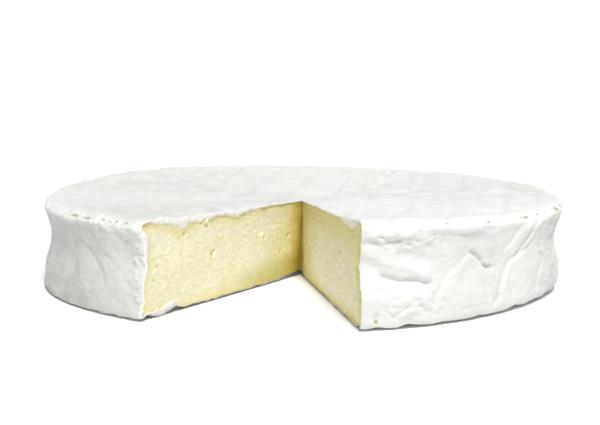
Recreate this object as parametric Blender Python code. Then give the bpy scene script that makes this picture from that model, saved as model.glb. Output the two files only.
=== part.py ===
"""Soft cheese wheel in a white rind, with one wedge cut out of it.

The wheel lies on its flat underside, +Z up. The origin is the wheel's centre
at table level, and the cut opens towards -Y.
"""

import random
from collections import namedtuple
from math import atan2, cos, degrees, exp, hypot, pi, radians, sin, sqrt, tau

import bmesh
import bpy
from mathutils import Vector, noise

MM = 0.001

# Driving dimensions of the wheel
WHEEL_RADIUS = 100 * MM
RIM_HEIGHT = 33.2 * MM
CUT_ANGLE = radians(45)
TIP_FORWARD = 3.6 * MM  # the cut stops this far short of the centre

# The wheel has slumped past its round outline in two places, by this much at its foot and at its rim
Bulge = namedtuple("Bulge", "turn spread foot rim")
OUTLINE_BULGES = (
    Bulge(radians(88), radians(34), 0.4 * MM, 2.0 * MM),
    Bulge(radians(274), radians(44), 1.9 * MM, 1.2 * MM),
)
OUTLINE_WOBBLE = 0.25 * MM

# The top is dished: it falls from the rim to the tip of the cut
DISH_DEPTH = 3.4 * MM
# The rim stands higher in two places: (turn about the tip, spread, how far up)
RIM_RISES = ((radians(22), radians(26), 2.4 * MM), (radians(232), radians(42), 2.4 * MM))

# Section of the side, from the lip under the top edge down to the foot
LIP_ROUND = 1.7 * MM
WAIST_DEPTH = 2.5 * MM
WAIST_BAND = (0.24, 0.95)  # shares of the height between which the side is hollow
FOOT_INSET = 1.5 * MM
FOOT_LEAN = 1.0 * MM  # the foot is tucked in this much more on the right and less on the left
FOOT_HEIGHT = 0.14  # share of the height
FLAT_SHARE = 0.93  # the underside is flat out to this share of the radius

# Unevenness
SIDE_SWELL = 0.9 * MM
SIDE_SWELL_LENGTH = 26 * MM
TOP_SWELL = 0.5 * MM
TOP_SWELL_LENGTH = 34 * MM
PASTE_GRAIN = 0.45 * MM
PASTE_GRAIN_LENGTH = 6 * MM
RIND_PROUD = 0.7 * MM  # the cut rind stands out from the paste
RIND_THICKNESS = 2.2 * MM
BACK_FOLD_SEED = 7
BACK_FOLDS = 26

# Fineness of the mesh
TURN_STEPS = 176
TOP_STEPS = 8
SIDE_STEPS = 15
FOOT_STEPS = 2
CUT_COLUMNS = 40
CUT_ROWS = 14

# Colours as linear RGB
RIND_COLOUR = (0.80, 0.80, 0.77, 1)
PASTE_COLOUR = (0.88, 0.80, 0.47, 1)
RIND_ROUGHNESS = 0.85
PASTE_ROUGHNESS = 0.5
RIND_SLOT = 0
PASTE_SLOT = 1

# A crease in the side: its two ends as (degrees from the front, height), its
# half-width and its depth, in millimetres. Below the crease the rind bulges.
Fold = namedtuple("Fold", "start_deg start_mm end_deg end_mm width_mm depth_mm")
FRONT_FOLDS = (
    Fold(19, 18.4, 38, 13.6, 2.6, 1.5),  # the long dent right of the cut
    Fold(22, 28.5, 34, 25.0, 2.0, 0.8),
    Fold(36.5, 14.0, 43.6, 23.8, 2.2, 0.9),
    Fold(43.0, 24.6, 51, 15.5, 2.2, 2.3),  # the sharp tuck
    Fold(47, 14.6, 51, 8.0, 2.4, 0.9),
    Fold(32, 12.0, 36, 4.8, 2.2, 0.8),
    Fold(62, 31.0, 54, 17.5, 2.2, 0.9),
    Fold(73, 30.5, 60, 20.0, 2.2, 1.8),  # the long slanting pleats
    Fold(60, 20.0, 51, 5.5, 2.2, 1.4),
    Fold(70, 26.5, 58, 15.5, 2.0, 0.9),
    Fold(77, 27.0, 69, 15.5, 2.2, 1.4),
    Fold(68, 17.0, 73, 5.0, 2.0, 1.0),
    Fold(-50, 28.0, -38, 22.5, 2.4, 1.1),  # the slanting pleats on the left
    Fold(-38, 22.5, -30.5, 10.5, 2.4, 1.2),
    Fold(-36, 27.0, -22.5, 8.5, 2.2, 1.0),
    Fold(-43, 17.0, -38.5, 5.5, 2.2, 0.9),
    Fold(-60, 26.0, -54, 9.0, 2.6, 1.0),
    Fold(-28, 30.5, -22.8, 20.5, 2.0, 0.8),
)


def clear_scene():
    for old in list(bpy.data.objects):
        bpy.data.objects.remove(old)


def ease(value):
    """0 below 0, 1 above 1 and smooth in between."""
    value = min(max(value, 0.0), 1.0)
    return value * value * (3 - 2 * value)


def bell(distance, width):
    return exp(-((distance / width) ** 2))


def swell(point, length, seed=0.0):
    """Smooth unevenness from -1 to 1 whose lumps are about this long."""
    return noise.noise(Vector(point) / length + Vector((seed, seed, seed)))


def back_folds():
    """The folds from the right-hand side round the back to the left-hand side."""
    draw = random.Random(BACK_FOLD_SEED)
    folds = []
    for number in range(BACK_FOLDS):
        start = 86 + (number + draw.uniform(-0.3, 0.3)) * 222 / BACK_FOLDS
        lean = draw.choice((-1, 1)) * draw.uniform(4, 14)
        top = draw.uniform(20, 31)
        fall = draw.uniform(9, 20)
        width = draw.uniform(1.6, 2.6)
        folds.append(Fold(start, top, start + lean, max(top - fall, 4), width, draw.uniform(0.6, 1.4)))
    return tuple(folds)


FOLDS = FRONT_FOLDS + back_folds()


def direction(turn):
    """The way out from the tip of the cut. Turn 0 is the middle of the cut."""
    return Vector((sin(turn), -cos(turn), 0))


def reach(turn):
    """How far it is from the tip of the cut to the wheel's outline."""
    to_circle = sqrt(WHEEL_RADIUS**2 - (TIP_FORWARD * sin(turn)) ** 2) - TIP_FORWARD * cos(turn)
    return to_circle + OUTLINE_WOBBLE * sin(8 * (turn - CUT_ANGLE / 2))


def slump(level, turn):
    """How far the side stands out past the outline where the wheel has slumped."""
    return sum(
        (bulge.foot + (bulge.rim - bulge.foot) * level) * bell(turn - bulge.turn, bulge.spread)
        for bulge in OUTLINE_BULGES
    )


def around(turn):
    """The angle from the front about the wheel's centre, in degrees, for a turn about the tip."""
    at = direction(turn) * reach(turn) + Vector((0, -TIP_FORWARD, 0))
    return degrees(atan2(at.x, -at.y))


def fold_depth(angle_deg, height):
    """How far the folds press the side in here. Each has a groove and a soft bulge below it."""
    pressed = 0.0
    per_degree = radians(1) * WHEEL_RADIUS / MM
    for fold in FOLDS:
        away_deg = (angle_deg - fold.start_deg + 180) % 360 - 180
        x, y = away_deg * per_degree, height / MM - fold.start_mm
        run = (fold.end_deg - fold.start_deg) * per_degree
        drop = fold.end_mm - fold.start_mm
        length = hypot(run, drop)
        along = (x * run + y * drop) / length
        across = (x * drop - y * run) / length
        if abs(across) > 5 * fold.width_mm:
            continue
        ends = ease(along / 4 + 0.5) * ease((length - along) / 4 + 0.5)
        groove = bell(across, fold.width_mm)
        bulge = 0.55 * bell(across - 2 * fold.width_mm, 1.3 * fold.width_mm)
        pressed += fold.depth_mm * ends * (groove - bulge)
    return pressed * MM


def side_inset(level, turn):
    """How far in from the outline the side stands: lip, hollow waist and rounded foot."""
    low, high = WAIST_BAND
    waist = sin(pi * min(max((level - low) / (high - low), 0), 1)) ** 1.5
    lip = ease((level - 0.93) / 0.07) ** 2
    foot = 1 - sqrt(1 - (1 - min(level / FOOT_HEIGHT, 1)) ** 2)
    deeper = 1 + 0.25 * sin(3 * turn + 1)
    return WAIST_DEPTH * deeper * waist + LIP_ROUND * lip + (FOOT_INSET + FOOT_LEAN * sin(turn)) * foot


def side_relief(level, turn):
    """Swells and folds of the side, fading out at the lip and at the foot."""
    at = direction(turn) * WHEEL_RADIUS + Vector((0, 0, level * RIM_HEIGHT))
    swells = SIDE_SWELL * swell(at, SIDE_SWELL_LENGTH)
    foot_hold = ease(level / 0.16)
    rim_hold = 1 - ease((level - 0.8) / 0.17)
    folds = fold_depth(around(turn), level * RIM_HEIGHT) * rim_hold
    return foot_hold * (swells * (0.3 + 0.7 * rim_hold) - folds)


def top_height(share, turn):
    """Height of the top, from the tip of the cut (share 0) to the rim (share 1)."""
    rise = sum(up * bell(turn - middle, spread) for middle, spread, up in RIM_RISES) * share**5
    dish = DISH_DEPTH * (1 - share) ** 1.15
    rounding = 0.8 * MM * ease((share - 0.965) / 0.035) ** 2
    at = direction(turn) * share * WHEEL_RADIUS
    swells = TOP_SWELL * swell(at, TOP_SWELL_LENGTH, 3.1) * ease(share / 0.25)
    return RIM_HEIGHT + rise - dish - rounding + swells


def foot_height(share):
    """Height of the underside, flat but for its rounded edge."""
    return 0.3 * MM * ease((share - FLAT_SHARE) / (1 - FLAT_SHARE)) ** 2


def lip_relief(along, below_skin):
    """How far the ragged edge of the rind stands out of a cut face."""
    ragged = 1 + 0.5 * swell((along, 0, 0), 3 * MM, 5.7) + 0.4 * swell((along, 0, 0), 11 * MM, 1.3)
    return RIND_PROUD * ragged * (1 - ease(below_skin / (RIND_THICKNESS * ragged)))


def shaped(share, turn, level, in_cut_face):
    """The real place of a point given by its share of the radius, its turn and its level."""
    span = reach(turn) + slump(level, turn) - side_inset(level, turn) + side_relief(level, turn)
    low, high = foot_height(share), top_height(share, turn)
    height = low + (high - low) * level
    place = direction(turn) * span * share + Vector((0, -TIP_FORWARD, height))
    if not in_cut_face or share == 0:
        return place
    side = 1 if turn < pi else -1
    outward = Vector((-cos(turn), -sin(turn), 0)) * side
    below_skin = min(high - height, height - low, (1 - share) * span)
    grain = PASTE_GRAIN * swell(place, PASTE_GRAIN_LENGTH, 9.2) * ease(below_skin / RIND_THICKNESS)
    lip = lip_relief(share * span + height, below_skin) * ease(share / 0.1)
    return place + outward * (grain + lip)


def graded(steps, power):
    """Shares from 0 to 1 that crowd together towards 1."""
    return [1 - (1 - step / steps) ** power for step in range(steps + 1)]


def section_points():
    """The half-section from the axis over the top, down the side and in to the flat underside."""
    top = [(share, 1.0) for share in graded(TOP_STEPS, 1.7)]
    side = [(1.0, 0.5 + 0.5 * cos(pi * step / SIDE_STEPS)) for step in range(1, SIDE_STEPS)]
    under = [(1 - (1 - FLAT_SHARE) * step / FOOT_STEPS, 0.0) for step in range(FOOT_STEPS + 1)]
    return top + side + under


def in_section(vert, turn):
    """Whether a vertex lies in the half-section at this turn."""
    beside, ahead = direction(turn + pi / 2).dot(vert.co), direction(turn).dot(vert.co)
    return abs(beside) < 1e-3 and ahead > -1e-3


def spin_section(bm, start):
    """Spins the half-section about the tip into the skin, then closes the cut and the underside."""
    outline = [bm.verts.new(direction(start) * share + Vector((0, 0, level))) for share, level in section_points()]
    edges = [bm.edges.new(pair) for pair in zip(outline, outline[1:])]
    bmesh.ops.spin(
        bm, geom=outline + edges, cent=(0, 0, 0), axis=(0, 0, 1), angle=tau - CUT_ANGLE, steps=TURN_STEPS
    )
    on_axis = [vert for vert in bm.verts if vert.co.xy.length < 1e-4]
    bmesh.ops.remove_doubles(bm, verts=on_axis, dist=1e-3)
    rim = {vert for edge in bm.edges if edge.is_boundary for vert in edge.verts}
    tip = bm.verts.new((0, 0, 0))
    for turn in (start, tau - start):
        corners = [vert for vert in rim if in_section(vert, turn)] + [tip]
        corners.sort(key=lambda vert: atan2(vert.co.z - 0.5, vert.co.xy.length - 0.5))
        bm.faces.new(corners).material_index = PASTE_SLOT
    ring = [vert for vert in rim if vert.co.z < 1e-4 and vert.co.xy.length < FLAT_SHARE + 1e-3]
    ring.sort(key=lambda vert: atan2(vert.co.x, -vert.co.y) % tau)
    bm.faces.new([tip] + ring)


def cut_into_cells(bm, start):
    """Divides the two cut faces into cells fine enough for the grain and the edge of the rind."""
    for turn in (start, tau - start):
        planes = [(direction(turn) * step / CUT_COLUMNS, direction(turn)) for step in range(1, CUT_COLUMNS)]
        for step in range(1, CUT_ROWS):
            level = 0.5 - 0.5 * cos(pi * step / CUT_ROWS)
            planes.append((Vector((0, 0, level)), Vector((0, 0, 1))))
        for point, normal in planes:
            cut = [face for face in bm.faces if face.material_index == PASTE_SLOT]
            faces = [face for face in cut if all(in_section(vert, turn) for vert in face.verts)]
            edges = {edge for face in faces for edge in face.edges}
            verts = {vert for face in faces for vert in face.verts}
            geometry = faces + list(edges) + list(verts)
            bmesh.ops.bisect_plane(bm, geom=geometry, dist=1e-5, plane_co=point, plane_no=normal)


def wheel_mesh():
    bm = bmesh.new()
    start = CUT_ANGLE / 2
    spin_section(bm, start)
    cut_into_cells(bm, start)
    bmesh.ops.recalc_face_normals(bm, faces=bm.faces)
    if bm.calc_volume(signed=True) < 0:
        bmesh.ops.reverse_faces(bm, faces=bm.faces)
    for vert in bm.verts:
        share = vert.co.xy.length
        turn = atan2(vert.co.x, -vert.co.y) % tau if share > 1e-6 else pi
        in_cut_face = any(face.material_index == PASTE_SLOT for face in vert.link_faces)
        share = 0 if share < 1e-6 else share
        vert.co = shaped(share, turn, vert.co.z, in_cut_face)
    mesh = bpy.data.meshes.new("cheese_wheel")
    bm.to_mesh(mesh)
    bm.free()
    mesh.shade_smooth()
    mesh.set_sharp_from_angle(angle=radians(50))
    return mesh


def material(name, colour, roughness):
    made = bpy.data.materials.new(name)
    made.use_nodes = True
    shader = made.node_tree.nodes["Principled BSDF"]
    shader.inputs["Base Color"].default_value = colour
    shader.inputs["Roughness"].default_value = roughness
    shader.inputs["Metallic"].default_value = 0
    return made


def build():
    clear_scene()
    mesh = wheel_mesh()
    mesh.materials.append(material("rind", RIND_COLOUR, RIND_ROUGHNESS))
    mesh.materials.append(material("paste", PASTE_COLOUR, PASTE_ROUGHNESS))
    bpy.context.scene.collection.objects.link(bpy.data.objects.new("cheese_wheel", mesh))


build()
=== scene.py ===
import random
from math import atan2, pi, radians, tau

import bmesh
import bpy
import numpy as np
from mathutils import Matrix, Vector, noise


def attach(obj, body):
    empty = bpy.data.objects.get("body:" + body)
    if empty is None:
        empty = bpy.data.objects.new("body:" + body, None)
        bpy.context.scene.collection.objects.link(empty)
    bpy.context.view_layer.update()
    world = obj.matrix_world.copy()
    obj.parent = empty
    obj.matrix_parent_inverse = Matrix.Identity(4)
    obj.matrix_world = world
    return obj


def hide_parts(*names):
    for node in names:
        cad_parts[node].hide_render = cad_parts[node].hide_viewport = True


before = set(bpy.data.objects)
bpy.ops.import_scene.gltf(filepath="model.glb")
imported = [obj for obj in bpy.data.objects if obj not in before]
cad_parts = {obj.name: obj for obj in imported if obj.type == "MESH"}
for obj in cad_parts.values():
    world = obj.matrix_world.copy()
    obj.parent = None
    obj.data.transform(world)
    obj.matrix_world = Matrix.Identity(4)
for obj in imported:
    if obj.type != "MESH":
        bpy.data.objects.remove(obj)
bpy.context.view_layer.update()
mm = 0.001
perDegree = radians(1) * 100  # millimetres along the side for one degree

# The wheel's form is the same as the solid's. Lengths are in millimetres and angles in degrees.
# Heights and ways out that are given as a share run from 0 to 1.
wheel = {
    "radius": 100.0,
    "rimHeight": 33.2,
    "halfCut": 22.5,
    "tipForward": 3.6,  # the cut stops this far short of the middle
    "tipLean": (0.9, 10),  # how far its tip leans to the right at the top, and how far round it
    "dish": (3.4, 1.15),  # how much the top falls from the rim to the tip of the cut, and how curved
    "rightTop": (0.7, 22, 50, 0.2),  # the top right of the cut is higher: up, turn, spread, share out
    "bulges": ((88, 34, 0.4, 2.0), (274, 44, 1.9, 1.2)),  # turn, spread, out at the foot, out at the rim
    "rimRises": ((22, 26, 2.4, 2.5), (232, 42, 2.4, 5)),  # turn, spread, up, how near the rim it stays
    "outlineWobble": 0.25,
    "lip": (1.7, 0.93, 0.07),  # how far it rounds in, from which share up, over how much
    "topRound": (0.8, 0.965, 0.035),  # how far it rounds down, from which share out, over how much
    "waist": (2.5, 0.24, 0.95, 1.5),  # depth, lower and upper end, how sharp
    "waistWobble": 0.25,
    "foot": (2.3, 1.4, 0.14),  # how far in it goes, how much further on the right, its height
    "flatShare": 0.925,
    "sideSwell": (0.8, 26),  # height and length of the lumps
    "topSwell": (0.5, 34, 0.25),  # the same, and the share out where they are full
    "rindThickness": 2.2,
}
cutStart = radians(wheel["halfCut"])
cutEnd = radians(360 - wheel["halfCut"])
wheelTurn = radians(360 - 2 * wheel["halfCut"])  # round the wheel from one cut face to the other
cutTip = np.array([0, -wheel["tipForward"], 0])

# Creases and ridges of the side. The path is in degrees from the front and millimetres up.
# Then: half-width, depth (negative for a ridge), lift of the rind left and right of the path.
frontFolds = [
    # the long dent in the middle, the soft ridge above it and the small ones below
    ([(24.5, 17.3), (26.4, 16.3), (28.7, 15.0), (31, 14.3), (33.5, 13.7), (36.5, 13.5)], 1.2, 1.9, 0.3, 0.9),
    ([(21, 25), (25.3, 22.6), (28.9, 20.4), (32.9, 17.9), (36.2, 15.8)], 2.5, -1.4, 0, 0),
    ([(29.3, 12.8), (31.6, 11.6), (34.5, 10.6)], 0.8, 0.7, 0.3, 0.3),
    ([(30.4, 10.6), (32.3, 8.5), (34.4, 4.9), (36.1, 4.6)], 0.9, 0.5, 0.3, 0),
    # the lobe, its left side and the dark fold on its right
    ([(44.9, 22.8), (43.3, 20.7), (41.4, 18.4), (39.2, 16.2), (37.5, 12.7), (36.3, 9.1), (35.4, 5.3)],
     0.9, 0.6, 1.0, -0.4),
    ([(44.5, 23.2), (46.6, 21.2), (47.8, 19.3), (48.8, 17.1), (50.1, 16.2), (51.9, 16.2)],
     0.9, 1.9, -0.5, 1.2),
    ([(47.2, 12.8), (48.2, 10.0), (49.8, 8.9)], 1.6, 0.9, 0.2, 0.2),
    # the hollow under the rim
    ([(31, 30.6), (36, 29.4), (42, 27.8), (52, 27.6), (60, 28.5)], 3.0, 1.1, 0, 0),
    ([(28.9, 32.4), (32, 32.5), (36.2, 30.9), (41.3, 29.2), (46.2, 29.1)], 0.9, 0.5, 0.3, 0),
    ([(37.5, 27.7), (41, 25.2), (43.8, 22.6)], 2.6, 0.7, 0, 0),
    # the long slanting folds on the right and the rough ones beyond
    ([(71.2, 32), (66.3, 31.3), (63.8, 28.6), (62.9, 25.3), (61.6, 22.7), (59.8, 19.5), (56.3, 16.2),
      (54.3, 13.3), (52.8, 9.7), (51.9, 5.8), (50, 3.2)],
     0.9, 1.0, 0.9, -0.4),
    ([(65, 23.7), (62.7, 21), (59.9, 18.8), (57.7, 17.2)], 0.7, 0.9, 0.2, 0.2),
    ([(64.2, 31.7), (59.3, 28.9), (56.5, 23.8), (54.4, 21.1)], 0.9, 0.7, 0.5, 0),
    ([(46.9, 28.3), (47.8, 30.4), (49.2, 30.4), (51.7, 28.9)], 0.9, 0.8, 0, 0.5),
    ([(68.9, 30.1), (68.4, 24.7), (69.3, 20.2), (68.4, 18.2), (69.9, 14.3), (67.6, 10), (66.4, 6),
      (65.4, 3.1)],
     0.9, 1.2, 0.6, 0),
    ([(74.4, 27.3), (73.9, 21.9), (76, 16.2), (73.4, 11.9)], 0.9, 1.0, 0.4, 0.2),
    ([(79, 30), (81, 23), (79, 14), (80, 7)], 1.2, 1.1, 0.5, 0),
    ([(86, 28), (84.5, 20), (86.5, 11)], 1.1, 0.9, 0.4, 0),
    # the puckers beside the cut
    ([(22, 31.1), (23.6, 32), (24.8, 33.2), (26.6, 31.8), (28.4, 30.7), (30.1, 31.5)], 0.6, 0.45, 0.2, 0.2),
    ([(21.6, 27.8), (23.4, 28.7), (25, 27.9), (26.9, 28.5), (29.4, 27.6)], 0.6, 0.45, 0.2, 0.2),
    ([(24.5, 30.3), (26.4, 29.6), (28.4, 28.7), (29.9, 29.1), (32.4, 28.2)], 0.6, 0.45, 0.2, 0.2),
    ([(26, 6), (27.6, 3.8), (29.2, 2.6), (31.8, 1.2)], 0.7, 0.6, 0.4, 0),
    ([(27.6, 5.2), (29.5, 6.2), (31.5, 7.9)], 0.6, 0.7, 0, 0.4),
    ([(34.8, 4.8), (36.1, 3.9), (37.5, 3)], 0.6, 0.6, 0.2, 0.2),
    ([(22, 11), (25, 12.2), (28, 11.4)], 0.7, 0.5, 0.2, 0.2),
    ([(40.9, 3.5), (46, 4.4), (50.1, 3.6)], 0.8, 0.5, 0.3, 0),
    # the left side
    ([(-50.3, 29.9), (-45.9, 26.8), (-41.9, 24.7), (-38.7, 22.1), (-36.1, 18.8), (-33.6, 15.3),
      (-30.8, 10.9)],
     1.1, 0.32, 0.17, 0),
    ([(-36.4, 27.4), (-32.7, 21.8), (-29.2, 17.1), (-25.5, 12.3), (-23, 8.4)], 1.3, 0.28, 0.14, 0),
    ([(-43, 16), (-40.4, 11), (-38, 5.8)], 1.4, 0.24, 0.14, 0),
    ([(-28, 30.5), (-26.1, 25.7), (-24.3, 20.5)], 1.4, 0.24, 0.1, 0),
    ([(-34.4, 13.7), (-31, 9), (-29.4, 4.5)], 1.3, 0.16, 0.067, 0),
    ([(-57.6, 27.6), (-60.8, 19.1), (-56.8, 12.5)], 1.7, 0.28, 0.1, 0),
    ([(-66, 24), (-63, 15), (-55.5, 7.9)], 1.8, 0.28, 0, 0.1),
    ([(-51.6, 19.5), (-47.1, 13), (-46.5, 6.6)], 2.2, -0.24, 0, 0),
    ([(-54.8, 32.6), (-71, 20), (-60.1, 13)], 1.7, 0.32, 0.1, 0),
]


# the creases of the hidden side are drawn at random
backLook = {
    "seed": 7,
    "folds": 30,
    "degrees": (88, 190),  # where they start, how far round they go
    "lean": (3, 9),
    "top": (20, 31.5),
    "fall": (8, 20),
    "lowest": 4,
    "bend": (-2.5, 2.5),
    "shape": ((0.8, 1.4), (0.6, 1.3), (-0.2, 0.6), (0, 0.6)),  # half-width, depth, lift left and right
}


def backFolds():
    draw = random.Random(backLook["seed"])
    first, sweep = backLook["degrees"]
    folds = []
    for number in range(backLook["folds"]):
        start = first + (number + draw.uniform(-0.3, 0.3)) * sweep / backLook["folds"]
        lean = draw.choice((-1, 1)) * draw.uniform(*backLook["lean"])
        top, fall, bend = (draw.uniform(*backLook[name]) for name in ("top", "fall", "bend"))
        middle = (start + lean * 0.5 + bend, top - fall * 0.5)
        end = (start + lean, max(top - fall, backLook["lowest"]))
        folds.append(([(start, top), middle, end], *(draw.uniform(*ends) for ends in backLook["shape"])))
    return folds


sideFolds = frontFolds + backFolds()
foldLook = {
    "near": 40,  # how far from its middle a crease is looked for
    "ends": (3.5, 0.15),  # length over which it runs out, and how much is left at its very end
    "liftLength": 3.6,  # how far its lift is felt
}


def ease(value):
    value = np.clip(value, 0, 1)
    return value * value * (3 - 2 * value)


def bell(distance, width):
    return np.exp(-((distance / width) ** 2))


def apart(angle, where):  # degrees between two angles, the short way round
    return (angle - where + 180) % 360 - 180


def lumps(points, length, seed=0.0):  # smooth noise from -1 to 1, points in millimetres
    return np.array([noise.noise(p) for p in (points / length + seed).tolist()])


def crumble(points, length, octaves, seed=0.0):  # rougher noise of several sizes
    return np.array([noise.fractal(p, 0.8, 2.1, octaves) for p in (points / length + seed).tolist()])


def puffs(points, length, seed=0.0):  # round bumps with creases between them
    return np.abs(lumps(points, length, seed)) * 2.2 - 0.55


def smoothPath(path, pieces=5):
    ends = [path[0]] + list(path) + [path[-1]]
    dots = []
    for a, b, c, d in zip(ends, ends[1:], ends[2:], ends[3:]):
        for step in range(pieces):
            t = step / pieces
            dots.append([
                0.5 * (2 * q + (r - p) * t + (2 * p - 5 * q + 4 * r - s) * t * t
                       + (3 * q - p - 3 * r + s) * t**3)
                for p, q, r, s in zip(a, b, c, d)
            ])
    return dots + [list(path[-1])]


def foldRelief(angle, height):  # how far the folds push the side out, in millimetres
    relief = np.zeros_like(angle)
    endLength, endLeft = foldLook["ends"]
    for path, width, depth, liftLeft, liftRight in sideFolds:
        dots = [(x * perDegree, z) for x, z in smoothPath(path)]
        middle = sum(x for x, z in path) / len(path)
        x = (apart(angle, middle) + middle) * perDegree
        near = np.abs(x - middle * perDegree) < foldLook["near"]
        x, z = x[near], height[near]
        best = np.full(len(x), 1e9)
        across, along = np.zeros_like(x), np.zeros_like(x)
        walked = 0.0
        for (ax, az), (bx, bz) in zip(dots, dots[1:]):
            run, rise = bx - ax, bz - az
            length = max((run * run + rise * rise) ** 0.5, 1e-6)
            t = ((x - ax) * run + (z - az) * rise) / length**2
            held = np.clip(t, 0, 1)
            away = np.hypot(x - ax - held * run, z - az - held * rise)
            side = np.sign((x - ax) * rise - (z - az) * run)
            closer = away < best
            best = np.where(closer, away, best)
            across = np.where(closer, away * side, across)
            along = np.where(closer, walked + held * length, along)
            walked += length
        ends = ease(along / endLength + endLeft) * ease((walked - along) / endLength + endLeft)
        groove = bell(across, width)
        step = (1 - groove) * np.exp(-np.abs(across) / foldLook["liftLength"])
        lift = np.where(across > 0, liftRight, liftLeft) * step
        relief[near] += ends * (lift - depth * groove)
    return relief


def direction(turn):  # the way out from the tip of the cut, turn 0 being the middle of the cut
    return np.stack([np.sin(turn), -np.cos(turn), np.zeros_like(turn)], axis=-1)


def outOfCut(turn, left):  # the way out of the paste on either cut face
    outward = np.stack([-np.cos(turn), -np.sin(turn), np.zeros_like(turn)], axis=-1)
    outward[left] *= -1
    return outward


def fromTip(places):
    return np.hypot(places[:, 0], places[:, 1] + wheel["tipForward"])


def fromCutFace(turn):  # as an angle, a right angle at most
    return np.clip(np.minimum(turn - cutStart, tau - cutStart - turn), 0, pi / 2)


def reach(turn):
    radius, forward = wheel["radius"], wheel["tipForward"]
    toCircle = np.sqrt(radius**2 - (forward * np.sin(turn)) ** 2) - forward * np.cos(turn)
    return toCircle + wheel["outlineWobble"] * np.sin(8 * (turn - cutStart))


def slump(level, turn):
    return sum(
        (foot + (rim - foot) * level) * bell(np.degrees(turn) - middle, spread)
        for middle, spread, foot, rim in wheel["bulges"]
    )


def sideInset(level, turn):
    waistDepth, low, high, sharp = wheel["waist"]
    waist = np.sin(pi * np.clip((level - low) / (high - low), 0, 1)) ** sharp
    deeper = 1 + wheel["waistWobble"] * np.sin(3 * turn + 1)
    lipRound, lipFrom, lipOver = wheel["lip"]
    lip = ease((level - lipFrom) / lipOver) ** 2
    footInset, footLean, footTop = wheel["foot"]
    foot = 1 - np.sqrt(1 - (1 - np.clip(level / footTop, 0, 1)) ** 2)
    footIn = footInset * (0.5 + 0.5 * np.sin(turn) ** 2) + footLean * np.sin(turn)
    return waistDepth * deeper * waist + lipRound * lip + footIn * foot


def topHeight(share, turn):
    angle = np.degrees(turn)
    rise = sum(up * bell(angle - at, spread) * share**hold for at, spread, up, hold in wheel["rimRises"])
    up, at, spread, full = wheel["rightTop"]
    rise = rise + up * bell(angle - at, spread) * (1 - share) * ease(share / full)
    down, start, over = wheel["topRound"]
    rounding = down * ease((share - start) / over) ** 2
    size, length, full = wheel["topSwell"]
    place = direction(turn) * (share * wheel["radius"])[:, None]
    swells = size * lumps(place, length, 3.1) * ease(share / full)
    fall, curve = wheel["dish"]
    return wheel["rimHeight"] + rise - fall * (1 - share) ** curve - rounding + swells


# the foot lifts off the board a little at its outer edge and along the cut
footLook = {
    "outer": (0.45, 0.8, 7.0),  # least and further lift of the outer edge, length of its waves
    "outerWaves": (0.3, 1.3, 1.2),  # middle, swing and most of the waves
    "edgeOver": 0.03,  # share out over which the outer edge lifts
    "besideCut": (6.0, 0.6),  # how far in from the cut it lifts, how sharply it ends
    # distance from the tip of the cut, lift
    "leftLift": [(0, 1.7), (8, 1.6), (13, 0.9), (30, 0.6), (60, 0.7), (74, 0.8), (78, 1.8), (80.5, 1.8),
                 (84, 0.9), (90, 0.5), (98, 0.2)],
    "rightLift": [(0, 1.6), (5, 1.3), (12, 0.6), (85, 0.5), (98, 0.2)],
    "liftRange": (0.12, 2.0),
    "scallops": (0.8, 6.5),
}


def readOff(table, where):
    return np.interp(where, [x for x, y in table], [y for x, y in table])


def footHeight(share, turn):
    out = share * wheel["radius"]
    place = direction(turn) * out[:, None]
    least, further, length = footLook["outer"]
    middle, swing, most = footLook["outerWaves"]
    edge = ease((share - wheel["flatShare"]) / footLook["edgeOver"])
    outer = (least + further * np.clip(middle + swing * lumps(place, length, 40.0), 0, most)) * edge
    lift = np.where(turn < pi, readOff(footLook["rightLift"], out), readOff(footLook["leftLift"], out))
    size, length = footLook["scallops"]
    lift = lift + size * (lumps(place, length, 44.0) + 0.5 * lumps(place, 0.4 * length, 45.0))
    width, sharp = footLook["besideCut"]
    beside = 1 - ease(out * np.sin(fromCutFace(turn)) / width - sharp)
    return outer + np.clip(lift, *footLook["liftRange"]) * beside


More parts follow.
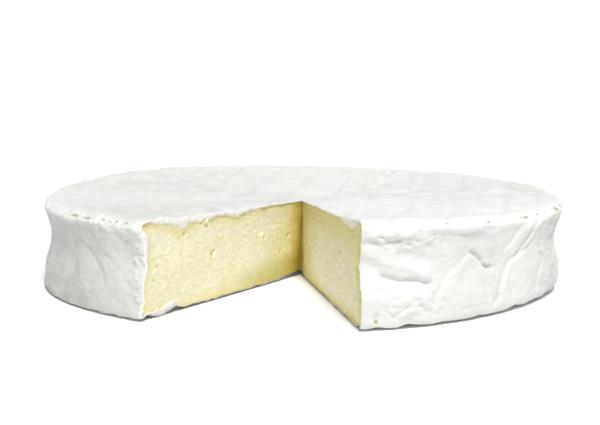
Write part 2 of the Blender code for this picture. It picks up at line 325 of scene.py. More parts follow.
# the finer relief of the downy rind: a pair is a height and a length
rindLook = {
    "sideFrom": (0.87, 0.07),  # the share out where the side's relief fades in, over how much
    "footHold": 0.16,  # the share up where it is full
    "rimHold": (0.86, 0.13),  # the share up where it fades out, over how much
    "rack": (17.5, 9.0, 1.0, 1.1),  # marks of the draining rack: spacing, start, depth, half-width
    "topGrain": 0.2,
    "topWrinkles": (3.0, 11.0),
    "foldDepth": 0.7,
    "foldUneven": (0.5, 8.0),
    "foldDrift": (0.6, 6.0),  # how far the creases wander
    "sideGrain": 0.16,
    "papery": (0.3, 6.0),  # the soft wrinkles all over the side
    "wrinkles": 0.95,
    # rough places on the side: degrees, height, how wide, how tall, how rough
    "rough": [(75, 16, 7, 30, 1.1), (83, 16, 5, 30, 0.8), (29, 29.5, 9, 4.5, 1.5), (30, 6, 8, 6, 1.1),
              (50, 4, 14, 4, 0.5), (-30, 31, 16, 3, 1.0), (-36, 24, 10, 9, 0.35), (140, 12, 12, 9, 0.7),
              (196, 20, 14, 8, 0.6), (250, 10, 12, 8, 0.6)],
    "leastRough": 0.2,
    "rimBumps": (0.42, 2.8, 3.2),  # height, length, how far from the rim they reach
    "moreBumps": (0.5, -42, 30),  # how much more they stand, degrees, spread
    "edgeBumps": (0.24, 2.0, 2.6),  # as rimBumps, along the cut, on the top
    "tuckedIn": [(-92, 45, 1.3), (95, 28, 0.9)],  # degrees, spread, how far in
    "pits": [(24.2, 3.2, 1.0, 1.0), (-25.2, 26.2, 0.9, 0.8)],  # degrees, height, radius, depth
    # the side's end at the left of the cut: its rounding, and the bumps on it
    "leftCorner": {"width": 3.6, "round": 1.2, "bumps": 0.62, "length": 1.9, "middle": 1.0, "spread": 2.3},
    # thin down, partly painted shade on the shaded left and far right sides, and lush down, partly painted
    # light on the lit top right: degrees, spread, how much, the lush one on the top and the rim alone
    "shadeAndThinDown": [(-50, 27, 1.0), (44, 10, 0.2), (77, 11, 0.6), (130, 20, 0.5), (205, 30, 0.5),
                 (260, 24, 0.4)],
    # partly painted light: the lit top right is whiter
    "lightAndLushDown": [(48, 50, 0.9), (170, 60, 0.5), (290, 25, 0.3)],
}


def sideRelief(turn, level, angle, outline):  # creases, wrinkles and pits of the side
    height = level * topHeight(np.ones_like(turn), turn)
    start, over = rindLook["rimHold"]
    rimHold = 1 - ease((level - start) / over)
    drift, length = rindLook["foldDrift"]
    driftedAngle = angle + drift * lumps(outline, length, 21.0) / perDegree
    driftedHeight = height + drift * lumps(outline, length, 27.0)
    uneven, length = rindLook["foldUneven"]
    depth = rimHold * rindLook["foldDepth"] * (1 + uneven * lumps(outline, length, 33.0))
    pushed = foldRelief(driftedAngle, driftedHeight) * depth
    size, length = wheel["sideSwell"]
    swells = lumps(outline, length) + 0.9 * lumps(outline, 0.45 * length, 5.0)
    swells = size * swells * (0.3 + 0.7 * rimHold)
    for where, spread, inward in rindLook["tuckedIn"]:
        swells -= inward * bell(apart(angle, where), spread)
    size, length = rindLook["papery"]
    papery = size * (lumps(outline, length, 12.0) - 0.8 * np.abs(lumps(outline, 0.5 * length, 14.0)))
    rough = np.full_like(angle, rindLook["leastRough"])
    for where, up, wide, tall, amount in rindLook["rough"]:
        rough = np.maximum(rough, amount * bell(apart(angle, where), wide) * bell(height - up, tall))
    stretched = outline * np.array([0.6, 0.6, 1.5])
    wrinkled = (np.abs(crumble(stretched, 3.4, 3, 8.0)) - 0.3) * rindLook["wrinkles"] * rough
    grain = crumble(outline, 4.0, 4, 2.0) * rindLook["sideGrain"] * (0.5 + rough)
    for where, up, radius, sunk in rindLook["pits"]:
        grain -= sunk * bell(np.hypot((angle - where) * perDegree, height - up), radius)
    corner = rindLook["leftCorner"]
    fromCut = (cutEnd - turn) * wheel["radius"]
    nearness = np.clip(1 - fromCut / corner["width"], 0, 1)
    puffed = corner["bumps"] * (puffs(outline, corner["length"], 9.0) + 0.4 * puffs(outline, 1.0, 10.0))
    pushed = pushed + puffed * bell(fromCut - corner["middle"], corner["spread"])
    pushed = pushed - corner["round"] * (1 - np.sqrt(1 - nearness**2))
    return swells + pushed + papery * (0.4 + 0.6 * rimHold) + (grain - wrinkled) * (0.35 + 0.65 * rimHold)


def topRelief(place, share, turn):  # the rack's marks, the grain, and the bumps along the cut
    spacing, start, deep, width = rindLook["rack"]
    bend = 1.2 * lumps(place * np.array([0, 1, 0]), 40, 4.0) + 0.5 * lumps(place, 9, 6.0)
    beside = (place[:, 0] - start + bend + 0.5 * spacing) % spacing
    rack = bell(beside - 0.5 * spacing, width) * (0.55 + 0.45 * lumps(place, 12, 1.0))
    grain = crumble(place * np.array([0.3, 1, 1]), 4.0, 4, 5.0)
    size, length, width = rindLook["edgeBumps"]
    along = share * wheel["radius"]
    edge = size * np.where(turn > pi, 1, 0.55) * bell(along * np.sin(fromCutFace(turn)), width)
    edge = edge * ease(along / 12)
    return rindLook["topGrain"] * grain - deep * rack + edge * puffs(place, length, 7.0)


def topWrinkles(place, share):  # they slant, and leave the tip of the cut and the rim alone
    size, length = rindLook["topWrinkles"]
    x, y = place[:, 0], place[:, 1]
    slanted = np.stack([x * 0.9 + y * 0.45, (y - x * 0.45) * 0.4, np.zeros_like(x)], axis=-1)
    folded = np.abs(lumps(slanted, length, 61.0) + 0.35 * lumps(slanted, 0.4 * length, 62.0))
    held = ease((share * wheel["radius"] - 12) / 30) * (1 - ease((share - 0.88) / 0.1))
    return size * (folded - 0.25) * held * (0.6 + 0.8 * lumps(place, 40, 63.0))


def skinPoints(share, turn, level):  # points of the wheel's outside
    radial = direction(turn)
    upward = np.array([0, 0, 1.0])
    height = level * wheel["rimHeight"]
    around = radial * reach(turn)[:, None] + cutTip
    angle = np.degrees(np.arctan2(around[:, 0], -around[:, 1]))
    start, over = rindLook["sideFrom"]
    onSide = share > start
    relief = np.zeros_like(share)
    if onSide.any():
        outline = radial[onSide] * wheel["radius"] + upward * height[onSide][:, None]
        fade = ease(level[onSide] / rindLook["footHold"]) * ease((share[onSide] - start) / over)
        relief[onSide] = fade * sideRelief(turn[onSide], level[onSide], angle[onSide], outline)
    out = reach(turn) + slump(level, turn) - sideInset(level, turn)
    low, high = footHeight(share, turn), topHeight(share, turn)
    place = radial * ((out + relief) * share)[:, None] + cutTip
    onTop = level > 0.99
    if onTop.any():
        high[onTop] += topRelief(place[onTop], share[onTop], turn[onTop])
        high[onTop] += topWrinkles(place[onTop], share[onTop])
    place[:, 2] = low + (high - low) * level
    # downy bumps along the rim, on the top and the side alike
    size, length, width = rindLook["rimBumps"]
    fromRim = np.hypot((1 - share) * wheel["radius"], (1 - level) * wheel["rimHeight"])
    near = fromRim < 3 * width
    if near.any():
        body = radial[near] * (share[near] * wheel["radius"])[:, None] + upward * height[near][:, None]
        more, where, spread = rindLook["moreBumps"]
        size = size * (1 + more * bell(angle[near] - where, spread))
        puffed = puffs(body, length, 50.0) + 0.4 * puffs(body, 0.5 * length, 51.0)
        bumps = size * bell(fromRim[near], width) * puffed
        place[near] += (0.6 * radial[near] + 0.8 * upward) * bumps[:, None]
    lean, spread = wheel["tipLean"]
    place[:, 0] += lean * bell(fromTip(place), spread) * place[:, 2] / wheel["rimHeight"]
    return place


# the torn edge of the rind round the two cut faces
tornEdge = {
    # distance from the tip of the cut, how far the rind hangs over the paste from the top
    "leftDrop": [(0, 0.3), (6, 0.5), (20, 1.0), (29, 1.6), (36, 2.5), (42, 3.7), (45.5, 3.4), (48, 2.6),
                 (53, 2.0), (57, 2.9), (61, 3.0), (66, 3.2), (71, 4.3), (75.5, 6.0), (77.5, 3.9), (82, 2.9),
                 (89, 2.0), (94, 1.1), (97, 0.8)],
    "rightDrop": [(0, 0.7), (20, 0.6), (45, 0.8), (60, 1.0), (70, 1.4), (75, 3.1), (82, 4.2), (87, 3.0),
                  (91, 1.2), (97, 1.0)],
    # and how far it stands up over it from the foot
    "leftFoot": [(0, 0.12), (70, 0.2), (77, 0.4), (78.4, 2.6), (81, 3.4), (85, 3.0), (89, 2.6), (92, 1.0),
                 (97, 0.5)],
    "rightFoot": [(0, 0.12), (50, 0.2), (60, 0.5), (75, 0.3), (97, 0.7)],
    # height on the side, how far the rind reaches in from the side
    "leftSide": [(0, 1.3), (12, 1.4), (20, 1.5), (22.5, 2.2), (24.5, 4.4), (27, 4.5), (29, 3.6),
                 (30.5, 2.4), (32, 1.2), (34, 0.4)],
    "rightSide": [(0, 0.7), (20, 0.6), (34, 0.7)],
    "ragged": ((0.34, 3.0), (0.2, 1.4)),  # how uneven its reach is: height and length
    "leastRagged": 0.6,
    "leftProud": 0.55,
    "rightProud": 0.45,
    "roll": (0, 0.45, 0.8, 0.98, 1.0, 0.9, 0.7, 0.2, -1.1),  # how proud each row of the torn edge stands
    "granules": ((0.45, 2.4), (0.38, 1.1)),  # height and length
}


def rindPoints(share, turn, level, column, inner):  # points of the torn edge and of the wall inside
    columns, rows = rindMesh["columns"], rindMesh["edgeRows"]
    right = column < columns / 2
    row = np.clip(np.maximum(-column, column - columns) / rows, 0, 1)
    row = np.where(inner, 1, np.where(share < 1e-6, 0, row))
    out = share * reach(turn)
    height = level * wheel["rimHeight"]
    parts = (("Drop", out), ("Foot", out), ("Side", height))
    insets = [[readOff(tornEdge[side + part], where) for part, where in parts] for side in ("right", "left")]
    at = np.stack([out, height, np.where(right, 3.0, 60.0)], axis=-1)
    (coarse, coarseLength), (fine, fineLength) = tornEdge["ragged"]
    ragged = 1 + coarse * lumps(at, coarseLength) + fine * lumps(at, fineLength)
    reaches = np.where(right, *insets) * np.maximum(ragged, tornEdge["leastRagged"])
    # away from the cut the inner wall keeps the rind's own thickness
    fromCut = np.minimum(column, columns - column) * (wheelTurn / columns * wheel["radius"])
    away = np.where(inner, ease(fromCut / rindMesh["innerBlend"]), 0)
    topDrop, footRise, sideReach = reaches + (wheel["rindThickness"] - reaches) * away
    inside = share * (1 - row * sideReach / reach(turn))
    fullHeight = topHeight(share, turn)
    lifted = row * footRise / fullHeight + level * (1 - row * (topDrop + footRise) / fullHeight)
    place = skinPoints(inside, turn, lifted)
    # the torn edge rolls out over the paste, in downy granules
    onTop, onFoot = ease((level - 0.9) / 0.1), ease((0.1 - level) / 0.1)
    width = topDrop * onTop + footRise * onFoot + sideReach * (1 - onTop - onFoot)
    proud = np.minimum(np.where(right, tornEdge["rightProud"], tornEdge["leftProud"]), 0.1 + 0.5 * width)
    roll = np.interp(row, np.linspace(0, 1, len(tornEdge["roll"])), tornEdge["roll"])
    inPlane = np.stack([inside * reach(turn), lifted * fullHeight, at[:, 2]], axis=-1)
    swelling = 1 + 0.4 * lumps(at, 4.5, 2.0)
    for size, length in tornEdge["granules"]:
        swelling = swelling + size * puffs(inPlane, length, length)
    offset = np.where(roll > 0, proud * roll * np.maximum(swelling, 0.15), roll)
    offset = np.where(inner, -rindMesh["innerSink"] * (1 - away), offset) * np.clip(out / 4, 0, 1)
    return place + outOfCut(turn, ~right) * offset[:, None]


# The rind is one closed shell, spun from half of its section.
rindMesh = {
    "columns": 608,  # round the wheel, closest together near the cut
    "sectors": 32,
    "crowding": 0.5,
    "edgeRows": 8,  # rows of the torn edge beyond each cut face
    "topPoints": 54,
    "sidePoints": 64,
    "footPoints": 9,
    "rimCrowding": 1.35,
    "innerColumns": 44,
    "fineColumns": 6,  # beside the cut, cut up finely along the edge
    "fineLength": 0.5,
    "innerSink": 2.0,
    "innerBlend": 8.0,
}


def turnVerts(bm, verts, angle, axis="Z"):
    bmesh.ops.rotate(bm, verts=verts, cent=(0, 0, 0), matrix=Matrix.Rotation(angle, 3, axis))


def spinRound(bm, geometry, steps):  # round the wheel, from the right cut face to the left one
    bmesh.ops.spin(
        bm, geom=geometry, cent=(0, 0, 0), axis=(0, 0, 1), dvec=(0, 0, 0),
        angle=wheelTurn, steps=steps, use_merge=False,
    )


def mergeDoubles(bm):
    bmesh.ops.remove_doubles(bm, verts=bm.verts, dist=1e-4)


def halfSection(bm):  # from the middle of the top out to the rim, down the side and back in along the foot
    share, level = (bm.verts.layers.float[name] for name in ("share", "level"))
    corners = [bm.verts.new(place) for place in ((0, 0, 1), (1, 0, 1), (1, 0, 0), (0, 0, 0))]
    edges = [bm.edges.new(pair) for pair in zip(corners, corners[1:])]
    for edge, points in zip(edges, ("topPoints", "sidePoints", "footPoints")):
        bmesh.ops.subdivide_edges(bm, edges=[edge], cuts=rindMesh[points] - 1)
    for v in bm.verts:
        if v.co.z > 0.999 or v.co.z < 0.001:
            v.co.x = 1 - (1 - v.co.x) ** rindMesh["rimCrowding"]
        v[share], v[level] = v.co.x, v.co.z
    turnVerts(bm, bm.verts, cutStart - pi / 2)


def startMesh(*layerNames):
    bm = bmesh.new()
    for name in layerNames:
        bm.verts.layers.float.new(name)
    return bm, [bm.verts.layers.float[name] for name in layerNames]


def vertsOf(geometry):
    return [part for part in geometry if isinstance(part, bmesh.types.BMVert)]


def edgesOf(geometry):
    return [part for part in geometry if isinstance(part, bmesh.types.BMEdge)]


def layerValues(bm, name):
    layer = bm.verts.layers.float[name]
    return np.array([v[layer] for v in bm.verts])


def columnOf(place):  # counted from the right cut face, negative beyond it
    step = wheelTurn / rindMesh["columns"]
    return ((atan2(place.x, -place.y) - cutStart + 0.4) % tau - 0.4) / step


def crowdedTurn(column):  # the columns stand closest beside the cut
    u = np.clip(column / rindMesh["columns"], 0, 1)
    return cutStart + wheelTurn * (u - rindMesh["crowding"] * np.sin(tau * u) / tau)


def buildRind():
    rows, columns, sectors = rindMesh["edgeRows"], rindMesh["columns"], rindMesh["sectors"]
    step = wheelTurn / columns
    bm, (share, level, column, inner) = startMesh("share", "level", "column", "inner")
    halfSection(bm)
    spinRound(bm, list(bm.verts) + list(bm.edges), sectors)
    mergeDoubles(bm)
    for v in bm.verts:
        sector = round(columnOf(v.co) * sectors / columns)
        v[column] = sector * columns / sectors if v.co.xy.length > 1e-4 else columns / 2
    arcs = [edge for edge in bm.edges if abs(edge.verts[0][column] - edge.verts[1][column]) > 1]
    arcs = [edge for edge in arcs if min(v[share] for v in edge.verts) > 1e-6]
    bmesh.ops.subdivide_edges(bm, edges=arcs, cuts=columns // sectors - 1, use_single_edge=True)
    # beyond each cut face come the rows of the torn edge, then the wall inside, which is much coarser
    outline = [edge for edge in bm.edges if edge.is_boundary]
    walls = []
    for atEnd, way in ((0, -1), (columns, 1)):
        edges = [
            edge for edge in outline
            if all(abs(v[column] - atEnd) < 0.5 or v[share] < 1e-6 for v in edge.verts)
        ]
        for _ in range(rows):
            made = bmesh.ops.extrude_edge_only(bm, edges=edges)["geom"]
            turnVerts(bm, vertsOf(made), way * step)
            for v in vertsOf(made):
                v[column] += way
            edges = edgesOf(made)
        made = bmesh.ops.extrude_edge_only(bm, edges=edges)["geom"]
        turnVerts(bm, vertsOf(made), -way * rows * step)
        for v in vertsOf(made):
            v.co = (v.co.x * 0.9, v.co.y * 0.9, 0.5 + (v.co.z - 0.5) * 0.9)
            v[inner] = 1
        walls.append(vertsOf(made) + edgesOf(made))
    spinRound(bm, walls[0], rindMesh["innerColumns"])
    mergeDoubles(bm)
    for v in bm.verts:
        if v[inner] > 0.5:
            v[column] = columnOf(v.co)
        if v.co.xy.length < 1e-4:
            v[column] = columns / 2
    # along the torn edge the section's steps are cut shorter
    fine = rindMesh["fineColumns"] + 0.1
    rings = {}
    for edge in bm.edges:
        near, far = sorted(edge.verts, key=lambda v: v[share])
        if far[inner] > 0.5 or near[share] < 1e-6 or abs(near[level] - far[level]) > 1e-6:
            continue
        if abs(near[column] - far[column]) > 0.5 or fine < near[column] < columns - fine:
            continue
        cuts = int((far[share] - near[share]) * wheel["radius"] / rindMesh["fineLength"])
        if cuts:
            rings.setdefault(cuts, []).append(edge)
    for cuts, edges in rings.items():
        bmesh.ops.subdivide_edges(bm, edges=edges, cuts=cuts)
    bmesh.ops.recalc_face_normals(bm, faces=bm.faces)
    return bm


def setPlaces(bm, places):
    for v, place in zip(bm.verts, places * mm):
        v.co = place


def addValues(bm, values):
    for name, numbers in values.items():
        layer = bm.verts.layers.float.new(name)
        for v, number in zip(bm.verts, numbers):
            v[layer] = number


def finishPiece(bm, name, material, kept=()):
    for layerName in [layer for layer in bm.verts.layers.float.keys() if layer not in kept]:
        bm.verts.layers.float.remove(bm.verts.layers.float[layerName])
    if bm.calc_volume(signed=True) < 0:
        bmesh.ops.reverse_faces(bm, faces=bm.faces)
    mesh = bpy.data.meshes.new(name)
    bm.to_mesh(mesh)
    bm.free()
    mesh.materials.append(material)
    mesh.shade_smooth()
    piece = bpy.data.objects.new(name, mesh)
    bpy.context.collection.objects.link(piece)
    return piece


# tan specks: degrees, half-length along the rim, how far in from it (down the side when negative),
# half-height, strength
rimSpecks = [
    (38.6, 0.7, -0.4, 0.5, 0.8), (39.6, 0.5, 0.2, 0.5, 0.7), (48.6, 1.6, -0.7, 0.5, 0.9),
    (53.0, 0.8, -0.5, 0.4, 0.6), (60.2, 2.4, -0.6, 0.5, 1.0), (65.1, 0.9, -0.5, 0.4, 0.8),
    (69.5, 0.7, -0.5, 0.4, 0.6), (73.4, 0.7, -0.6, 0.4, 0.7), (76.6, 2.4, -0.8, 0.9, 1.0),
    (82.0, 2.4, -1.0, 0.9, 0.9), (27.0, 0.5, -0.8, 0.4, 0.5), (-42.0, 3.0, -0.5, 0.35, 1.0),
    (-37.4, 3.4, -0.6, 0.35, 0.9), (-31.6, 0.9, -0.5, 0.4, 0.8), (-29.6, 0.7, -0.7, 0.35, 0.8),
    (-27.4, 1.0, -0.6, 0.4, 0.7), (-25.0, 0.8, -0.4, 0.5, 0.8), (-52.0, 1.2, -0.8, 0.4, 0.4),
    (-41, 11, -4.5, 3.2, 0.24),  # a faint stain under the rim
    (110, 2.0, -0.6, 0.5, 0.8), (131, 1.2, -0.8, 0.5, 0.6), (158, 2.6, -0.7, 0.6, 0.8),
    (-165, 1.4, -0.9, 0.5, 0.7), (-140, 2.2, -0.5, 0.6, 0.8), (-118, 1.3, -0.8, 0.5, 0.6),
    (-95, 2.0, -0.6, 0.6, 0.7), (-72, 1.4, -0.9, 0.5, 0.5),
]
rindShade = {
    # the painted shade of the thin down is weaker towards the rim
    "shadeAndThinLess": 0.38,  # the down thins out less towards the rim
    # painted shade in the hollows of the side and the top
    "hollowSide": 1.3,  # millimetres in where the side counts as hollow
    "hollowTop": 0.35,
    "tornLush": 0.5,
    "pitSpeck": 0.7,  # of the first pit's radius
}


def strongest(angle, marks):  # of marks given as degrees, spread, strength
    found = np.zeros_like(angle)
    for where, spread, amount in marks:
        found = np.maximum(found, amount * bell(apart(angle, where), spread))
    return found


def shapeRind(bm):
    share, level, column = (layerValues(bm, name) for name in ("share", "level", "column"))
    inner = layerValues(bm, "inner") > 0.5
    columns = rindMesh["columns"]
    turn = crowdedTurn(column)
    places = skinPoints(share, turn, level)
    odd = inner | (column < 0.01) | (column > columns - 0.01)
    places[odd] = rindPoints(share[odd], turn[odd], level[odd], column[odd], inner[odd])
    setPlaces(bm, places)
    # what the finish reads: the torn edge, and the tan specks along the rim
    past = np.clip(np.maximum(-column, column - columns) / rindMesh["edgeRows"], 0, 1)
    angle = np.degrees(np.arctan2(places[:, 0], -places[:, 1]))
    fromRim = (1 - share) * wheel["radius"] - (1 - level) * wheel["rimHeight"]
    speck = np.zeros_like(share)
    for where, length, inward, height, strength in rimSpecks:
        along = bell((angle - where) * perDegree, length)
        speck = np.maximum(speck, strength * along * bell(fromRim - inward, height))
    where, up, radius, _ = rindLook["pits"][0]
    fromPit = np.hypot((angle - where) * perDegree, places[:, 2] - up)
    speck = np.maximum(speck, bell(fromPit, rindShade["pitSpeck"] * radius) * (past < 0.1))
    # painted shade: grey where the down is thin on the shaded sides, grey in the hollows, and grey underneath
    # as a contact shadow
    out = fromTip(places)
    level = np.clip(level, 0, 1)
    onSide = ease((share - 0.97) / 0.03) * ease((0.96 - level) / 0.06) * (past < 0.05)
    onTop = (level > 0.99) & (share < 0.97) & (past < 0.05)
    # painted contact shadow: the underside takes the full painted shade grey
    paintedContactShade = (level < 0.004) & (share < 0.995) & ~inner
    # painted shade on the left side and the far right, weaker towards the rim
    shadeAndThin = strongest(angle, rindLook["shadeAndThinDown"]) * (1 - rindShade["shadeAndThinLess"] * level)
    # painted shade in the hollows of the side and in the marks on the top
    inward = reach(turn) + slump(level, turn) - sideInset(level, turn) - out
    hollow = np.clip(inward / rindShade["hollowSide"], 0, 1) * onSide
    hollow += np.clip((topHeight(share, turn) - places[:, 2]) / rindShade["hollowTop"], 0, 1) * onTop
    # painted light on the top and upper side towards the right, and whiter down along the left torn edge
    lightAndLush = strongest(angle, rindLook["lightAndLushDown"]) * ease((level - 0.84) / 0.1) * ease(out / 25)
    lightAndLush = lightAndLush + rindShade["tornLush"] * np.clip(4 * past, 0, 1) * (column > 0)
    return {
        "lightAndLush": np.clip(lightAndLush, 0, 1) * ~inner, "torn": past * (column > 0), "blush": past * (column < 0),
        "speck": np.where(inner, 0, speck), "shadeAndThin": np.where(paintedContactShade, 1, shadeAndThin * onSide) * ~inner,
        "hollow": hollow * ~inner,
    }


# The paste is the two cut faces, finely divided, on a core that the rind hides.
pasteMesh = {
    "cellLength": 0.32,  # of the cut faces' cells
    "sectors": 24,
    "skinDepth": 0.2,  # under the rind's outside, at the cut face
    "coreDepth": 3.2,  # the same further in
}
pasteLook = {
    "waves": (0.30, 8.0),  # height and length of the soft relief
    "curds": ((0.11, 2.3), (0.12, 1.05)),  # and of the crumbly one
    "alongStretch": 2.0,
    "tipFade": 1.2,
    "patchy": (0.75, 0.6, 9.0),  # how crumbly it is: middle, swing, length
    "calmEdge": 4,  # the relief is weaker this close to the rind
    "creamWander": (1.5, 6.0),  # how uneven the cream's limits are: height and length
    "tipWander": (1.6, 2.4),
    # the painted shade where the two cut faces meet is widest at the foot
    "tipNarrows": (0.7, 0.6),  # the deep cream at the tip is widest at the foot
    # small holes: right (1) or left (-1) face, distance from the tip, height, radius, depth
    "eyes": [
        (-1, 56.8, 16.6, 1.05, 0.9), (-1, 55.7, 17.7, 0.7, 0.5), (-1, 57.3, 14.9, 0.5, 0.3),
        (-1, 86.9, 17.0, 0.6, 0.4), (-1, 88.6, 12.6, 0.75, 0.4), (-1, 25.4, 18.5, 0.6, 0.4),
        (-1, 72.1, 26.0, 0.8, 0.5), (-1, 59.8, 27.2, 0.9, 0.5), (-1, 9.0, 17.0, 0.7, 0.5),
        (-1, 14.0, 11.5, 0.6, 0.35), (-1, 38.0, 9.5, 0.5, 0.3), (-1, 92.0, 20.0, 0.6, 0.35),
        (1, 63.8, 20.1, 0.9, 0.45), (1, 49.7, 8.0, 0.7, 0.4), (1, 85.6, 8.6, 0.7, 0.35),
        (1, 36.0, 14.0, 0.6, 0.3),
    ],
    # the same for crumbs, with the height that they stand out
    "crumbs": [
        (-1, 26.4, 19.7, 1.3, 0.45), (-1, 60.2, 29.3, 1.3, 0.6), (-1, 31.0, 21.2, 0.7, 0.3),
        (-1, 58.3, 16.3, 0.6, 0.25), (1, 73.3, 2.0, 1.2, 0.4),
    ],
}
# how creamy and deep the paste is under the rind, with painted shade at the tip and in the corner by the
# foot: strength, full to, gone after (millimetres)
# the tip entries here and in deepLines are partly painted shade where the two cut faces meet
creamLines = {
    -1: {"top": (0.55, 0.2, 4.2), "side": (0.8, 3.0, 7.5), "foot": (0.75, 0.6, 5.0),
         "tipShade": (0.95, 2.0, 26.0)},
    1: {"top": (0.9, 3.0, 13.0), "side": (1.0, 5.0, 8.0), "foot": (1.0, 1.0, 5.5), "tipShade": (0.7, 7.0, 28.0)},
}
deepLines = {
    -1: {"top": (0.12, 0.4, 1.8), "side": (0.2, 0.5, 2.5), "foot": (0.25, 0.3, 1.8), "tipShade": (0.9, 1.0, 11.0)},
    1: {"top": (0.2, 0.2, 1.5), "side": (0.3, 1.0, 4.0), "foot": (0.5, 0.4, 2.6), "tipShade": (0.8, 0.8, 4.5)},
}
# painted shade: darker and olive in the corner where the cut faces meet the floor by the tip
cornerShadeLines = {-1: {"corner": (1.0, 3.5, 17.0)}, 1: {"corner": (0.5, 2.0, 9.0)}}
cornerShadeShape = (0.25, 1.2)  # how the corner's width and height count


def cutFace(bm, angle):  # a grid standing on the cut, from the tip out
    share, level = (bm.verts.layers.float[name] for name in ("share", "level"))
    along = round(wheel["radius"] / pasteMesh["cellLength"])
    up = round(wheel["rimHeight"] / pasteMesh["cellLength"])
    grid = bmesh.ops.create_grid(bm, x_segments=along, y_segments=up, size=0.5)["verts"]
    bmesh.ops.translate(bm, verts=grid, vec=(0.5, 0.5, 0))
    for v in grid:
        v[share], v[level] = v.co.x, v.co.y
    turnVerts(bm, grid, pi / 2, "X")
    turnVerts(bm, grid, angle - pi / 2)


def buildPaste():
    bm, (share, _) = startMesh("share", "level")
    cutFace(bm, cutStart)
    outline = [e for e in bm.edges if e.is_boundary and max(v[share] for v in e.verts) > 1e-6]
    ends = dict.fromkeys(v for e in outline for v in e.verts)
    spinRound(bm, list(ends) + outline, pasteMesh["sectors"])
    cutFace(bm, cutStart + wheelTurn)
    mergeDoubles(bm)
    bmesh.ops.recalc_face_normals(bm, faces=bm.faces)
    return bm


def spots(marks, face, out, height):  # the sum of the marks, and how much of one each point is in
    depth = np.zeros_like(out)
    mark = np.zeros_like(out)
    for side, where, up, radius, deep in marks:
        near = bell(np.hypot(out - where, height - up), radius) * (face == side)
        depth += deep * near
        mark = np.maximum(mark, near)
    return depth, mark


def shapePaste(bm):
    share, level = (layerValues(bm, name) for name in ("share", "level"))
    columns = rindMesh["columns"]
    counted = np.array([columnOf(v.co) for v in bm.verts])
    face = np.where(np.abs(counted) < 0.01, 1, np.where(np.abs(counted - columns) < 0.01, -1, 0))
    face = np.where(share < 1e-6, 1, face)
    onFace, left = face != 0, face < 0
    turn = cutStart + wheelTurn * np.clip(counted / columns, 0, 1)
    turn = np.where(face > 0, cutStart, np.where(left, cutStart + wheelTurn, turn))
    depth = np.where(onFace, pasteMesh["skinDepth"], pasteMesh["coreDepth"])
    fullHeight = topHeight(share, turn)
    inside = share * (1 - depth / reach(turn))
    lifted = depth / fullHeight + level * (1 - 2 * depth / fullHeight)
    places = skinPoints(inside, turn, lifted)
    # the relief of the two cut faces
    out, height = fromTip(places), places[:, 2]
    flat = np.stack([out / pasteLook["alongStretch"], height, 40 * (face + 2)], axis=-1)[onFace]
    size, length = pasteLook["waves"]
    relief = size * lumps(flat, length, 3.0)
    middle, swing, length = pasteLook["patchy"]
    patchy = middle + swing * lumps(flat, length, 8.0)
    for size, length in pasteLook["curds"]:
        relief += size * patchy * puffs(flat, length, length)
    edge = np.minimum(fullHeight[onFace] - height[onFace], height[onFace])
    relief *= 0.5 + 0.5 * ease(edge / pasteLook["calmEdge"])
    holes, eye = spots(pasteLook["eyes"], face[onFace], out[onFace], height[onFace])
    bumps, crumb = spots(pasteLook["crumbs"], face[onFace], out[onFace], height[onFace])
    relief = (relief - holes + bumps) * ease(out[onFace] / pasteLook["tipFade"])
    places[onFace] += outOfCut(turn, left)[onFace] * relief[:, None]
    setPlaces(bm, places)
    # what the finish reads: how creamy it is, and the marks
    dropped = np.where(face > 0, readOff(tornEdge["rightDrop"], out), readOff(tornEdge["leftDrop"], out))
    spread = np.stack([out, height, 40 * (face + 2)], axis=-1)
    size, length = pasteLook["creamWander"]
    wander = size * crumble(spread, length, 3, 11.0)
    size, length = pasteLook["tipWander"]
    uneven = size * crumble(spread * [0.35, 1.5, 1.0], length, 2, 5.0)
    atFoot, more = pasteLook["tipNarrows"]
    fromRind = {
        "top": fullHeight - height - dropped,
        "side": reach(turn) - sideInset(level, turn) - out,
        "foot": height,
        "tipShade": out * (atFoot + more * height / fullHeight) + uneven,
        "corner": np.hypot(cornerShadeShape[0] * out, cornerShadeShape[1] * height),
    }
    values = {}
    for name, lines in (("cream", creamLines), ("deep", deepLines), ("cornerShade", cornerShadeLines)):
        values[name] = np.zeros_like(out)
        for side, widths in lines.items():
            for part, (strength, full, gone) in widths.items():
                beyond = fromRind[part] + wander * min(1, gone / 6) - full
                amount = strength * (1 - ease(beyond / (gone - full))) * (face == side)
                values[name] = values[name] + (1 - values[name]) * amount
    curds = [puffs(flat, length, length) for size, length in pasteLook["curds"]]
    for name, numbers in (("eye", eye), ("crumb", crumb), ("curd", np.mean(curds, axis=0))):
        values[name] = np.zeros_like(out)
        values[name][onFace] = numbers
    values["along"], values["up"] = (out / pasteLook["alongStretch"] + 200 * face) * mm, height * mm
    return values


print("rind")
rindShell = buildRind()
rindValues = shapeRind(rindShell)
addValues(rindShell, rindValues)
rind = finishPiece(rindShell, "rind", bpy.data.materials.new("rind"), kept=tuple(rindValues))

print("paste")
pasteCore = buildPaste()
pasteValues = shapePaste(pasteCore)
addValues(pasteCore, pasteValues)
paste = finishPiece(pasteCore, "paste", bpy.data.materials.new("paste"), kept=tuple(pasteValues))


# materials: short helpers that add one node each
def startMaterial(material):
    material.use_nodes = True
    nodes = material.node_tree.nodes
    return material.node_tree, nodes["Principled BSDF"]


def join(tree, source, target):
    tree.links.new(source, target)


def attribute(tree, name):
    node = tree.nodes.new("ShaderNodeAttribute")
    node.attribute_name = name
    return node.outputs["Fac"]


def noiseAt(tree, place, scale, detail, rough):
    node = tree.nodes.new("ShaderNodeTexNoise")
    for name, number in (("Scale", scale), ("Detail", detail), ("Roughness", rough)):
        node.inputs[name].default_value = number
    join(tree, place, node.inputs["Vector"])
    return node.outputs["Fac"]


